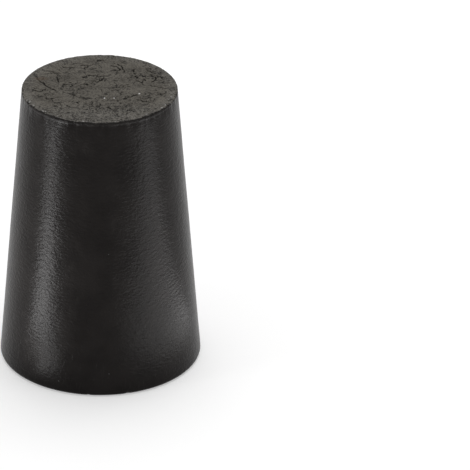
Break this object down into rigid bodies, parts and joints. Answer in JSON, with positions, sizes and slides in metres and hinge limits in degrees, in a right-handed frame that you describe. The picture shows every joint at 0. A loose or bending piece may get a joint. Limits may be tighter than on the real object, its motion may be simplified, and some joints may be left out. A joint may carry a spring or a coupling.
{
  "type": "rubber stopper",
  "caption": "Solid tapered stopper of black laboratory rubber, moulded in one piece with no bore, for closing the neck of a test tube or small flask.",
  "frame": {"origin": "centre of the large end's face, on the surface the stopper stands on", "axes": "+Z along the stopper's axis from the large end up to the small end; the shape is the same in every direction around Z"},
  "size_m": [0.017, 0.017, 0.0246],
  "materials": {
    "black_rubber": "satin"
  },
  "bodies": {
    "root": {"stopper": "black_rubber"}
  },
  "joints": []
}
